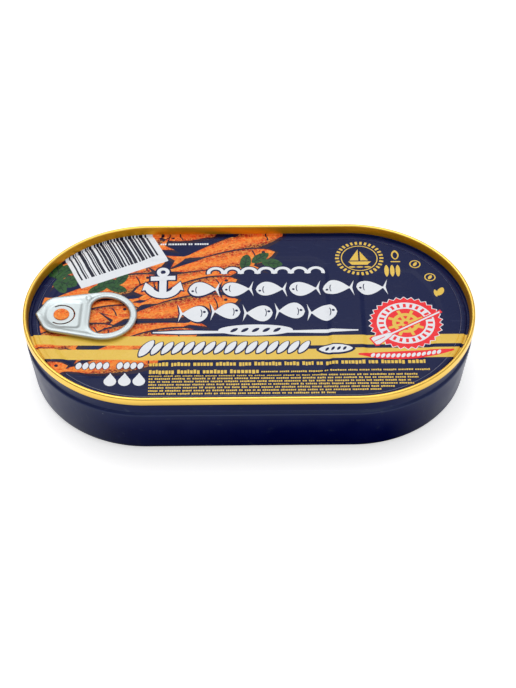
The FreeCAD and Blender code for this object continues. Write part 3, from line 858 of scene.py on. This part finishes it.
def fish_ink():
    """Smoked skin: dark red edges, orange flanks, a golden middle, streaks and a fine net of scales."""
    material, tree, shader, sheet = sheet_material("fish_ink", ((236, 112, 50),), (0.26, 0.38),
                                                   specular=0.1, Mottle_size=650.0)
    spread = add_node(tree, "ShaderNodeUVMap", uv_map="along_fish").outputs[0]
    split = add_node(tree, "ShaderNodeSeparateXYZ", {0: spread})
    wander = calculate(tree, "MULTIPLY_ADD", sheet["Mottle"], 0.5, split.outputs["Y"])
    ramp = add_node(tree, "ShaderNodeValToRGB", {"Fac": remap(tree, wander, 0.0, 1.0, 0.25, 1.25)})
    stops = ((0.0, (60, 20, 34)), (0.14, (140, 36, 30)), (0.28, (232, 74, 34)), (0.46, (255, 142, 54)),
             (0.62, (254, 104, 38)), (0.84, (190, 54, 34)), (1.0, (72, 26, 36)))
    for place, (position, colour) in enumerate(stops):
        stop = ramp.color_ramp.elements[place] if place < 2 else ramp.color_ramp.elements.new(position)
        stop.position = position
        stop.color = linear(*colour)
    stretch = add_node(tree, "ShaderNodeMapping", {"Vector": spread, "Scale": (34.0, 13.0, 1.0)})
    streak = noise(tree, stretch.outputs[0], 1.0, 4.0, 0.7)
    light = remap(tree, streak, 0.0, 0.85, 0.54, 0.66)
    skin = mix_colours(tree, light, ramp.outputs["Color"], linear(255, 206, 112))
    dark = remap(tree, streak, 0.8, 0.0, 0.32, 0.46)
    skin = mix_colours(tree, dark, skin, linear(156, 48, 40))
    place = add_node(tree, "ShaderNodeTexCoord").outputs["Object"]
    cells = add_node(tree, "ShaderNodeTexVoronoi", {"Vector": place, "Scale": 900.0},
                     feature="DISTANCE_TO_EDGE")
    net = remap(tree, cells.outputs["Distance"], 0.5, 0.0, 0.02, 0.16)
    feed(tree, shader, {"Base Color": mix_colours(tree, net, skin, linear(250, 164, 76))})
    return material


INKS = {
    "navy": sheet_material("printed_navy", ((16, 25, 68), (25, 34, 76)), (0.22, 0.34), 0.000003,
                           specular=0.12, marks=((44, 52, 90), (96, 102, 128)), Scratch_size=140.0)[0],
    # painted highlight: a lighter line along the score groove, where its slope would catch light, not a
    # printed ink
    "score": plain_ink("painted_score_highlight", (92, 98, 128), (120, 124, 148), 0.25, 0.5),
    "shade": plain_ink("shade_ink", (50, 22, 38), (30, 26, 56)),
    "fish": fish_ink(),
    "leaf": plain_ink("leaf_ink", (22, 64, 42), (56, 104, 50)),
    "dark_leaf": plain_ink("dark_leaf_ink", (16, 46, 38), (24, 60, 40)),
    "gilt": plain_ink("gilt_ink", (240, 202, 84), (232, 192, 76), 0.28, 0.3),
    "white": plain_ink("white_ink", (232, 236, 242), (240, 243, 248)),
    "black": plain_ink("black_ink", (28, 30, 48), (34, 36, 56)),
    "red": plain_ink("red_ink", (252, 52, 58), (240, 44, 52)),
}


def print_colours(centres):
    """Place in INKS of each face's ink, and the number of the print that it comes from."""
    names = list(INKS)
    colour = np.zeros(len(centres), int)
    owner = np.full(len(centres), -1)
    for number, (name, loops, _) in enumerate(PRINTS):
        around = (centres > loops[0].min(axis=0)) & (centres < loops[0].max(axis=0))
        near = np.nonzero(around.all(axis=1))[0]
        hit = np.zeros(len(near), bool)
        for loop in loops:
            hit ^= inside(centres[near], loop)
        colour[near[hit]] = names.index(name)
        owner[near[hit]] = number
    # painted highlight: navy faces on the score groove's inner half take the lighter score colour
    ring = rim_inset(centres[:, 0], centres[:, 1]) - SCORE_INSET
    colour[(ring > 0) & (ring < SCORE_HALF) & (colour == names.index("navy"))] = names.index("score")
    return colour, owner


def make_panel():
    lines = relief_loops()
    for _, loops, _ in PRINTS:
        lines += loops
    found, faces = fill_loops(oblong_loop(PRINT_EDGE, 90), lines, 2.2)
    mesh = shell_mesh("printed_panel", found, faces, panel_height, lambda flat: panel_height(flat) - SHEET)
    for shade in INKS.values():
        mesh.materials.append(shade)
    spread_map = mesh.uv_layers.new(name="along_fish")
    for face, shade, number in zip(mesh.polygons, *print_colours(found[faces].mean(axis=1))):
        face.material_index = int(shade)
        spread = PRINTS[number][2] if number >= 0 else None
        if spread is None:
            continue
        x, y, angle, length, width, order = spread
        for corner in face.loop_indices:
            away = mesh.vertices[mesh.loops[corner].vertex_index].co.xy / MM - Vector((x, y))
            along, up = Matrix.Rotation(-math.radians(angle), 2) @ away
            spread_map.data[corner].uv = (along / length + order, 0.5 + up / width)
    smooth(mesh, 40)
    return new_object("printed_panel", mesh)


panel = make_panel()
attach(panel, "root")
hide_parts("lid_end")

# ------------------------ rivet
# The rivet is drawn up out of the lid's own sheet: a low button under the tab, a stem through it
# and a head flattened on top, which still carries the orange print of the sheet.
RIVET_X = -61.5


def make_rivet():
    """Closed round piece turned from (radius, height over the panel) steps, with the fish's print."""
    count, field = 56, -FIELDS[0][-1]
    steps = [(0.0, field - SHEET), (3.9, field - SHEET), (3.9, field + 0.02), (3.5, field + 0.2),
             (3.25, 0.3), (3.0, 0.43), (1.75, 0.44), (1.62, 0.55), (1.62, 0.84), (2.4, 0.86), (2.58, 0.95),
             (2.6, 1.05), (2.52, 1.15), (2.36, 1.19), (2.1, 1.2), (1.0, 1.16), (0.0, 1.15)]
    shape = bmesh.new()
    spread_map = shape.loops.layers.uv.new("along_fish")
    rings = [[shape.verts.new((x * MM, y * MM, (PANEL + height) * MM))
              for x, y in circle_loop(RIVET_X, 0.0, radius, count if radius else 1)]
             for radius, height in steps]
    for under, over in zip(rings, rings[1:]):
        for step in range(count):
            ahead = (step + 1) % count
            corners = [under[step % len(under)], under[ahead % len(under)],
                       over[ahead % len(over)], over[step % len(over)]]
            corners = [corner for spot, corner in enumerate(corners) if corner is not corners[spot - 1]]
            face = shape.faces.new(corners)
            face.smooth = True
            for corner in face.loops:
                corner[spread_map].uv = (corner.vert.co.x / MM / 30.0, 0.55 + corner.vert.co.y / MM / 16.0)
    mesh = bpy.data.meshes.new("rivet")
    shape.to_mesh(mesh)
    shape.free()
    mesh.materials.append(INKS["fish"])
    return new_object("rivet", mesh)


rivet = make_rivet()
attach(rivet, "root")
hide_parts("lid_end")

# ------------------------ pull tab
# The tab is stamped from plain aluminium strip: its outer edge and the edge of the finger hole are
# curled, a shallow pan is pressed round the rivet, and a cut round the rivet lets the tab lift.
TAB_MIDDLE, CURL = PANEL + 0.75, 0.65
TAB_TURN = math.radians(-2.6)
PAN_SLOPE, PAN_TOP = 1.45, PANEL + 0.85
WEB_DIP, NOSE_DIP = 0.2, 0.1
PIP, PIP_RADIUS, PIP_DEEP = (8.3, 7.9), 0.75, 0.13


def between_tangents(first, second):
    """Points where the upper outside tangent touches two circles given as (x, y, radius)."""
    x, y = second[0] - first[0], second[1] - first[1]
    lean = math.atan2(y, x) + math.asin((second[2] - first[2]) / math.hypot(x, y))
    side = np.array([-math.sin(lean), math.cos(lean)])
    return [np.array(circle[:2]) + circle[2] * side for circle in (first, second)]


def arc_between(circle, start, end, count):
    """Points on a circle between two points of it, turning clockwise."""
    x, y, radius = circle
    begin = math.atan2(start[1] - y, start[0] - x)
    finish = math.atan2(end[1] - y, end[0] - x)
    return arc_loop(x, y, radius, np.linspace(begin, finish, count))


def tab_edge():
    """Outline of the tab: nose, steep flank, shoulder, long flank and the ring's round end."""
    nose, shoulder, ring = (-7.3, 0.0, 1.2), (-1.4, 2.9, 5.2), (13.9, 0.0, 10.9)
    leave_nose, meet_shoulder = between_tangents(nose, shoulder)
    leave_shoulder, meet_ring = between_tangents(shoulder, ring)
    upper = np.concatenate([
        arc_between(nose, (nose[0] - nose[2], 1e-6), leave_nose, 8),
        np.linspace(leave_nose, meet_shoulder, 10)[1:-1],
        arc_between(shoulder, meet_shoulder, leave_shoulder, 16),
        np.linspace(leave_shoulder, meet_ring, 20)[1:-1],
        arc_between(ring, meet_ring, (ring[0] + ring[2], 1e-6), 40)])
    upper[0, 1] = upper[-1, 1] = 0.0
    return np.concatenate([upper, upper[-2:0:-1] * (1, -1)])[::-1]


def finger_hole():
    centre, radius, corner = 14.0, 8.4, 4.5
    right = arc_loop(centre, 0, radius, np.linspace(-math.pi / 2, math.pi / 2, 36))
    upper = arc_loop(centre, radius - corner, corner, np.linspace(math.pi / 2, math.pi, 14))
    return np.concatenate([right, upper[1:], upper[:0:-1] * (1, -1)])


def pan_mouth(inset):
    """Outline of the pressed pan, round towards the nose and square towards the web."""
    radius, corner = 6.65 - inset, max(1.9 - 0.7 * inset, 0.9)
    round_end = arc_loop(0.7, 0, radius, np.linspace(math.pi / 2, 3 * math.pi / 2, 32))
    top = arc_loop(7.0 - inset - corner, radius - corner, corner, np.linspace(0, math.pi / 2, 8))
    return np.concatenate([round_end, top[::-1] * (1, -1), top])


def c_slot():
    opening = math.acos(-2.5 / 4.3)
    return band_loop(0, 0, 4.55, 4.05, np.linspace(-opening, opening, 40))


def step_in(loop, depth):
    """Loop moved inwards by depth along its own normals; an anticlockwise loop shrinks."""
    way = np.roll(loop, -1, axis=0) - np.roll(loop, 1, axis=0)
    way /= np.hypot(*way.T)[:, None]
    return loop + depth * np.stack([-way[:, 1], way[:, 0]], 1)


EDGE = tab_edge()
HOLE = finger_hole()


def curl_rise(points):
    """How far the curled edges have risen from the tab's middle plane, and the room to both edges."""
    outer, inner = distance(points, EDGE), distance(points, HOLE)
    room = np.minimum(outer, inner)
    room = np.where(room < 1e-4, 0.0, room)
    return np.sqrt(np.clip(CURL ** 2 - np.clip(CURL - room, 0.0, None) ** 2, 0.0, None)), outer, inner


def tab_top(points):
    x, y = points.T
    rise, outer, inner = curl_rise(points)
    high = TAB_MIDDLE + rise - WEB_DIP * ease(np.minimum(outer, inner + 0.35) - 1.15)
    high -= PIP_DEEP * ease((0.28 - np.abs(np.hypot(x - PIP[0], y - PIP[1]) - PIP_RADIUS)) / 0.25)
    high -= NOSE_DIP * ease((-5.3 - x) / 1.6) * ease((np.abs(y) - 0.25) / 1.2)
    depth = slope_down(points, pan_mouth(0.0), PAN_SLOPE)
    return high * (1 - depth) + PAN_TOP * depth


def tab_bottom(points):
    return TAB_MIDDLE - curl_rise(points)[0] + 0.35 * slope_down(points, pan_mouth(0.0), PAN_SLOPE)


def tab_aluminium():
    return sheet_material("tab_aluminium", ((194.1, 203.4, 204.9), (204.9, 212.9, 214.4)), (0.42, 0.52),
                          0.000006, metallic=1.0, Mottle_size=500.0)[0]


def make_pull_tab():
    curl_steps = (0.05, 0.15, 0.3, 0.48, 0.65)
    lines = [step_in(EDGE, depth) for depth in curl_steps + (1.15, 1.6, 2.15)]
    lines += [step_in(HOLE, -depth) for depth in curl_steps]
    lines += [pan_mouth(share * PAN_SLOPE) for share in (0.0, 0.11, 0.27, 0.5, 0.73, 0.89, 1.0)]
    lines += [circle_loop(*PIP, PIP_RADIUS + shift, 24) for shift in (-0.25, -0.1, 0.0, 0.1, 0.25)]
    found, faces = fill_loops(EDGE, lines, 0.55, [HOLE, c_slot(), circle_loop(0, 0, 1.7, 36)])
    mesh = shell_mesh("ring_pull", found, faces, tab_top, tab_bottom)
    mesh.transform(Matrix.Translation((RIVET_X * MM, 0, 0)) @ Matrix.Rotation(TAB_TURN, 4, "Z"))
    mesh.materials.append(tab_aluminium())
    smooth(mesh, 50)
    return new_object("ring_pull", mesh)


pull_tab = make_pull_tab()
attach(pull_tab, "root")
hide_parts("pull_tab")
